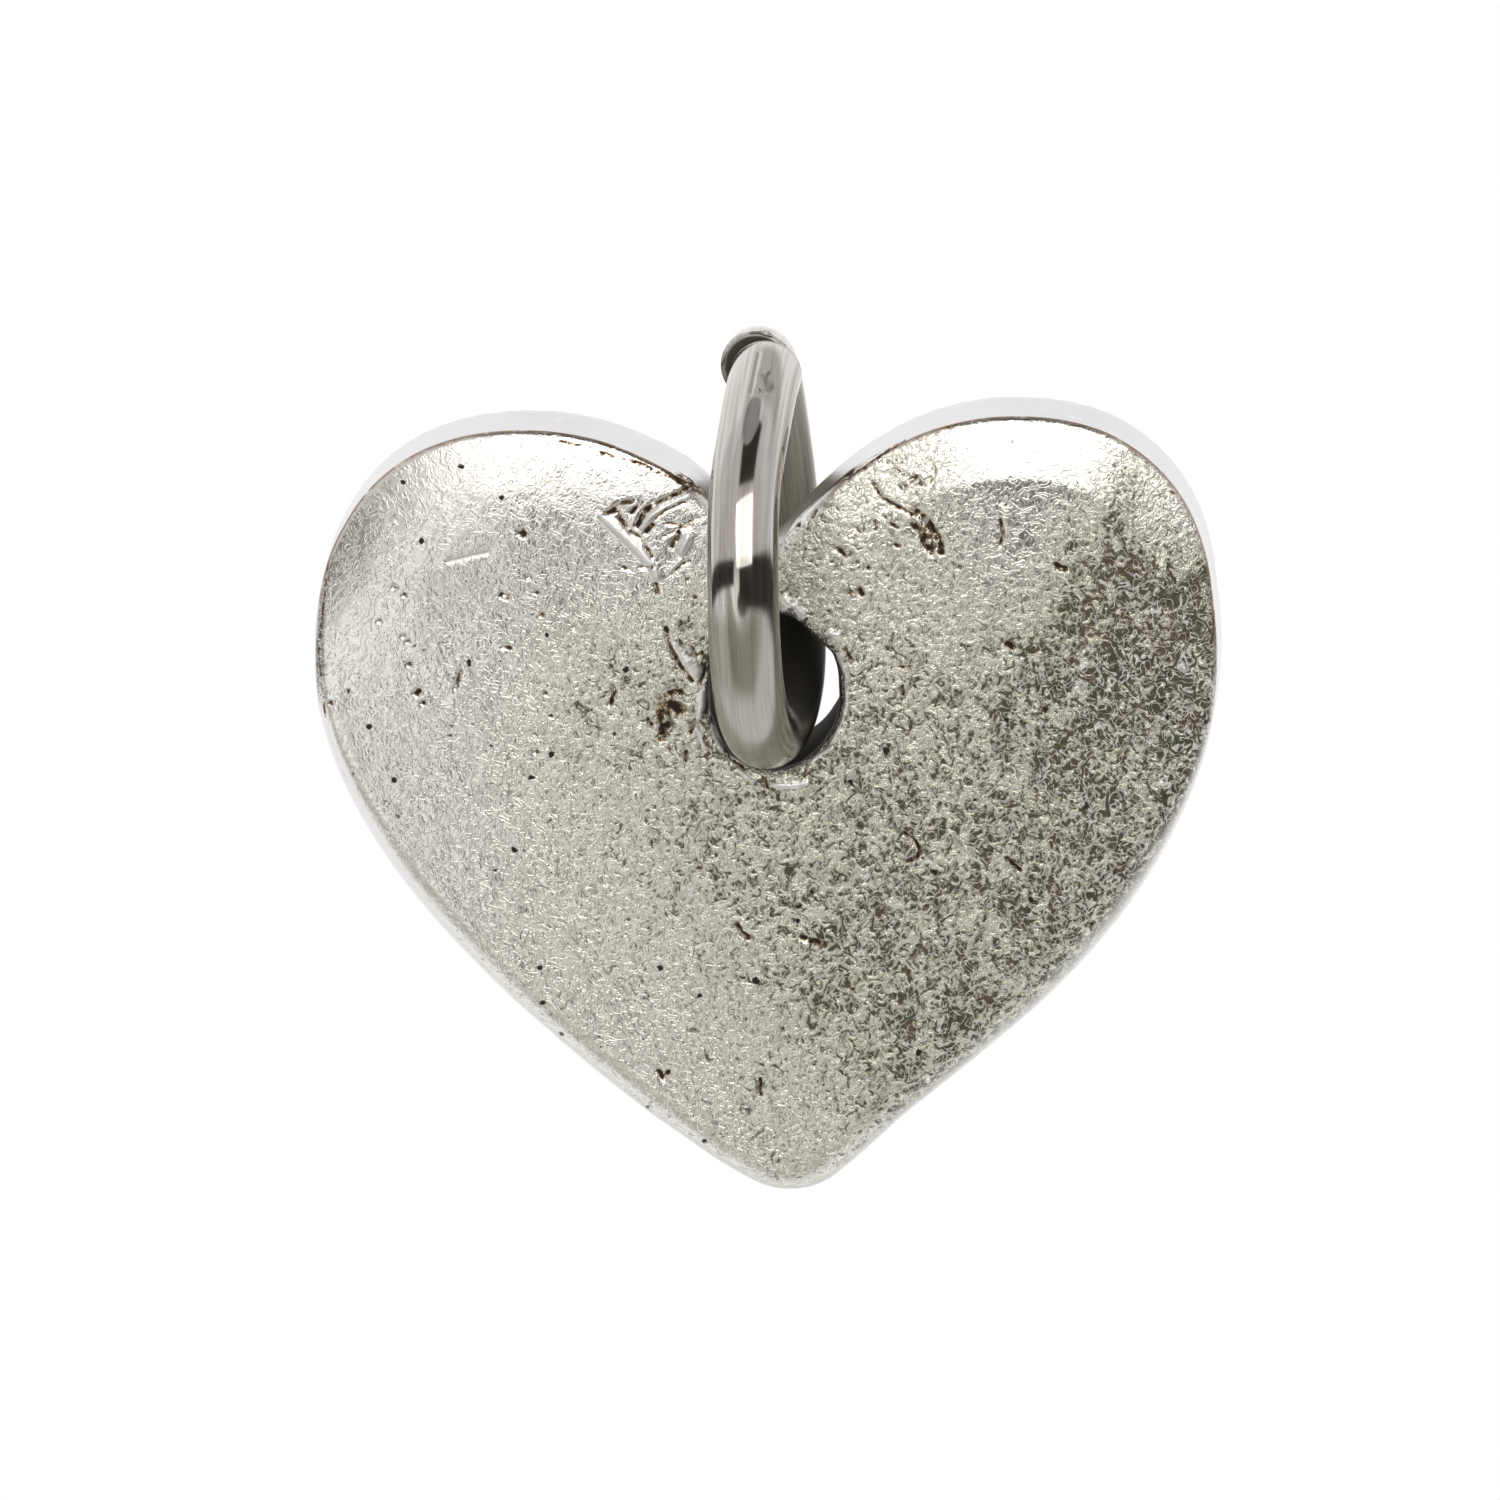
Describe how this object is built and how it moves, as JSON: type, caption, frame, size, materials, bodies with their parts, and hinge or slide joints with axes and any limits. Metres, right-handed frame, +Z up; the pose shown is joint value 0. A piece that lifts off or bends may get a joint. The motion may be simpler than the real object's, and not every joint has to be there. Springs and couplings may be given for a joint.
{
  "type": "heart charm",
  "caption": "Small cast metal heart with a domed front, hanging by a hole under its notch on an open wire jump ring that a chain, cord or clasp passes through.",
  "frame": {"origin": "middle of the jump ring's bore", "axes": "+X across the heart, along the ring's axis, +Y back through the heart's thickness, +Z up, from the heart's tip to its lobes"},
  "size_m": [0.0152, 0.0074, 0.0149],
  "materials": {
    "cast_silver": "tumbled cast pewter with a silver plate, pitted and slightly tarnished",
    "ring_wire": "drawn wire with a bright nickel plate"
  },
  "bodies": {
    "jump_ring": {"jump_ring": "ring_wire"},
    "heart": {"heart": "cast_silver"}
  },
  "joints": [
    {"name": "heart_swing", "type": "hinge", "parent": "jump_ring", "child": "heart", "pos_m": [0, 0, 0], "axis": [1, 0, 0], "continuous": true}
  ]
}
